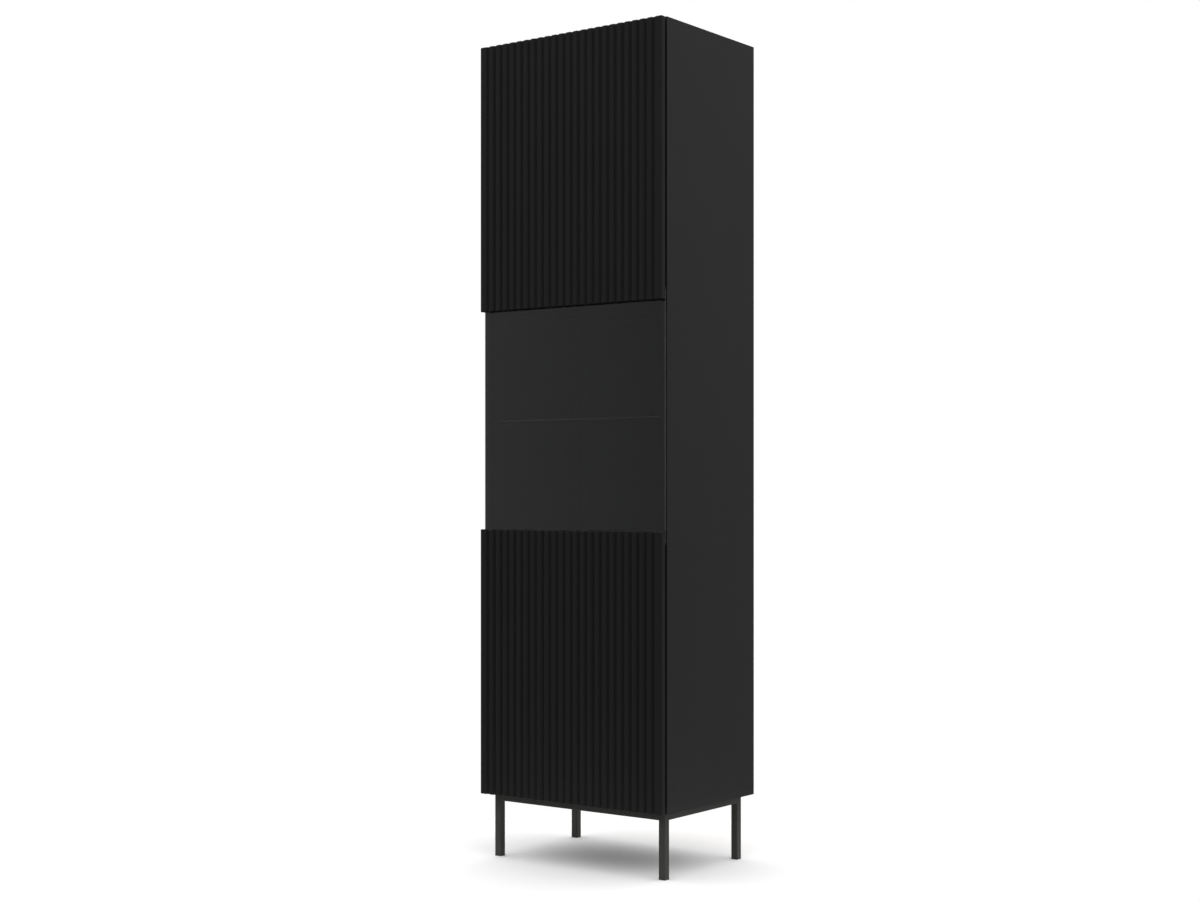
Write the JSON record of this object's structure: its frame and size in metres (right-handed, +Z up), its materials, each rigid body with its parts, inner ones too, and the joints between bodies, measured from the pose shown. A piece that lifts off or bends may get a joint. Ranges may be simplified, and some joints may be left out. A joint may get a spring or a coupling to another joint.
{
  "type": "pantry cabinet",
  "caption": "Tall narrow black storage cabinet on a steel leg frame, with one door of ribbed panels above and below a smoked glass window.",
  "frame": {"origin": "centre of the footprint at floor level", "axes": "+Z up, the door faces -Y, +X to the right of a person who faces the door"},
  "size_m": [0.544, 0.4, 2],
  "materials": {
    "black_board": "matt black melamine face on particle board",
    "ribbed_front": "matt black foil on milled fibreboard",
    "hardboard": "thin hardboard, bare brown behind and black inside",
    "smoked_glass": "smoked glass, polished edges",
    "shelf_glass": "grey glass, polished edges",
    "frame_steel": "black powder coat",
    "black_plastic": "moulded black plastic",
    "grey_plastic": "moulded grey plastic",
    "hinge_steel": "black coated steel",
    "retainer_steel": "black coated steel strip",
    "zinc_steel": "zinc plated",
    "cam_zinc": "die cast",
    "pin_nickel": "nickel plated",
    "beech": "bare beech"
  },
  "bodies": {
    "root": {"back_panel_lower": "hardboard", "back_panel_nails": "zinc_steel", "back_panel_upper": "hardboard", "bottom_panel": "black_board", "bottom_screws": "zinc_steel", "cam_bolts": "zinc_steel", "cam_locks": "cam_zinc", "divider_lower": "black_board", "divider_upper": "black_board", "dowels": "beech", "foot_glides": "black_plastic", "frame_screws": "zinc_steel", "frame_tabs": "frame_steel", "glass_shelf": "shelf_glass", "hinge_pin_1": "hinge_steel", "hinge_pin_2": "hinge_steel", "hinge_pin_3": "hinge_steel", "hinge_pin_4": "hinge_steel", "hinge_side_leaf_1": "hinge_steel", "hinge_side_leaf_2": "hinge_steel", "hinge_side_leaf_3": "hinge_steel", "hinge_side_leaf_4": "hinge_steel", "hinge_side_screws": "zinc_steel", "latch_housing_lower": "black_plastic", "latch_housing_upper": "black_plastic", "latch_screws": "zinc_steel", "leg_front_left": "frame_steel", "leg_front_right": "frame_steel", "leg_rear_left": "frame_steel", "leg_rear_right": "frame_steel", "rail_front": "frame_steel", "rail_left": "frame_steel", "rail_rear": "frame_steel", "rail_right": "frame_steel", "shelf_lower": "black_board", "shelf_pins_display": "pin_nickel", "shelf_pins_lower": "pin_nickel", "shelf_pins_upper": "pin_nickel", "shelf_upper": "black_board", "side_panel_left": "black_board", "side_panel_right": "black_board", "top_panel": "black_board", "wall_bracket_left": "zinc_steel", "wall_bracket_right": "zinc_steel", "wall_bracket_screws": "zinc_steel"},
    "door": {"door_glass": "smoked_glass", "door_panel_lower": "ribbed_front", "door_panel_upper": "ribbed_front", "glass_retainer_lower": "retainer_steel", "glass_retainer_upper": "retainer_steel", "hinge_door_leaf_1": "hinge_steel", "hinge_door_leaf_2": "hinge_steel", "hinge_door_leaf_3": "hinge_steel", "hinge_door_leaf_4": "hinge_steel", "hinge_door_screws": "zinc_steel", "latch_strike_lower": "zinc_steel", "latch_strike_upper": "zinc_steel", "retainer_screws": "zinc_steel"},
    "latch_plunger_upper": {"latch_plunger_upper": "grey_plastic"},
    "latch_plunger_lower": {"latch_plunger_lower": "grey_plastic"}
  },
  "joints": [
    {"name": "door_hinge", "type": "hinge", "parent": "root", "child": "door", "pos_m": [-0.2698, -0.181, 1.078], "axis": [0, 0, -1], "range_deg": [0, 100]},
    {"name": "plunger_upper_travel", "type": "slide", "parent": "root", "child": "latch_plunger_upper", "axis": [0, -1, 0], "range_m": [0, 0.02]},
    {"name": "plunger_lower_travel", "type": "slide", "parent": "root", "child": "latch_plunger_lower", "axis": [0, -1, 0], "range_m": [0, 0.02]}
  ],
  "couplings": [
    {"joint": "plunger_upper_travel", "follows": "door_hinge", "m_per_rad": 0.01145},
    {"joint": "plunger_lower_travel", "follows": "door_hinge", "m_per_rad": 0.01145}
  ]
}
